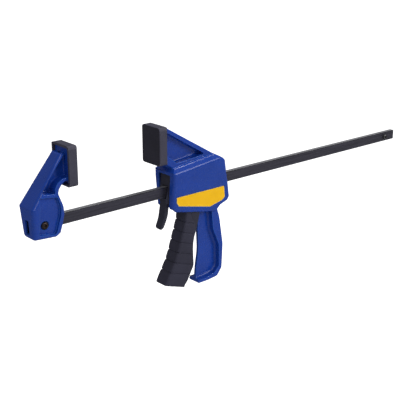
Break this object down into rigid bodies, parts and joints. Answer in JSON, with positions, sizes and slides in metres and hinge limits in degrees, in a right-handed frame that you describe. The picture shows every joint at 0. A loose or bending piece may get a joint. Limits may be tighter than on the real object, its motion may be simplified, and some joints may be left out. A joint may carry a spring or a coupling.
{
  "type": "quick release bar clamp",
  "caption": "One-handed bar clamp: a fixed jaw on a flat steel bar and a sliding pistol-grip jaw with squeeze trigger and quick release lever.",
  "frame": {"origin": "centre of the fixed jaw pad's clamping face", "axes": "+X from the fixed pad's face along the bar to its free end, +Z from the bar up to the pads, handle down"},
  "size_m": [0.4496, 0.0276, 0.1543],
  "materials": {
    "bar_steel": "dark phosphate steel",
    "spring_steel": "oiled spring steel",
    "plate_steel": "hardened steel plate",
    "screw_steel": "zinc plated, yellowish",
    "blue_moulding": "glass-filled nylon, satin",
    "black_moulding": "black nylon, matt",
    "grip_rubber": "black soft grip",
    "pad_rubber": "dark grey non-marking pad",
    "yellow_panel": "printed plastic panel, bare"
  },
  "bodies": {
    "frame": {"bar": "bar_steel", "stop_pin": "spring_steel", "fixed_jaw": "blue_moulding", "fixed_jaw_pad": "pad_rubber", "fixed_jaw_screw": "screw_steel", "fixed_jaw_nut": "screw_steel"},
    "jaw": {"moving_jaw": "blue_moulding", "moving_jaw_pad": "pad_rubber", "side_label": "yellow_panel", "trigger_pin": "plate_steel", "drive_spring": "spring_steel", "brake_spring": "spring_steel"},
    "trigger": {"trigger_core": "black_moulding", "trigger_grip": "grip_rubber"},
    "drive_plates": {"drive_plate_front": "plate_steel", "drive_plate_rear": "plate_steel"},
    "release": {"release_lever": "black_moulding", "brake_plate_front": "plate_steel", "brake_plate_rear": "plate_steel"}
  },
  "joints": [
    {"name": "jaw_slide", "type": "slide", "parent": "frame", "child": "jaw", "axis": [1, 0, 0], "range_m": [-0.0803, 0.231]},
    {"name": "trigger_pivot", "type": "hinge", "parent": "jaw", "child": "trigger", "pos_m": [0.1214, 0, -0.0301], "axis": [0, -1, 0], "range_deg": [0, 9], "stiffness_Nm_per_rad": 0.46, "springref_deg": -21.2},
    {"name": "drive_plate_slide", "type": "slide", "parent": "jaw", "child": "drive_plates", "axis": [1, 0, 0], "range_m": [0, 0.004], "deforming": ["drive_spring"]},
    {"name": "release_pivot", "type": "hinge", "parent": "jaw", "child": "release", "pos_m": [0.0992, 0, -0.0265], "axis": [0, -1, 0], "range_deg": [0, 6.5], "stiffness_Nm_per_rad": 0.3, "springref_deg": -20.05, "deforming": ["brake_spring"]}
  ],
  "couplings": [
    {"joint": "drive_plate_slide", "follows": "trigger_pivot", "m_per_rad": 0.0215}
  ]
}
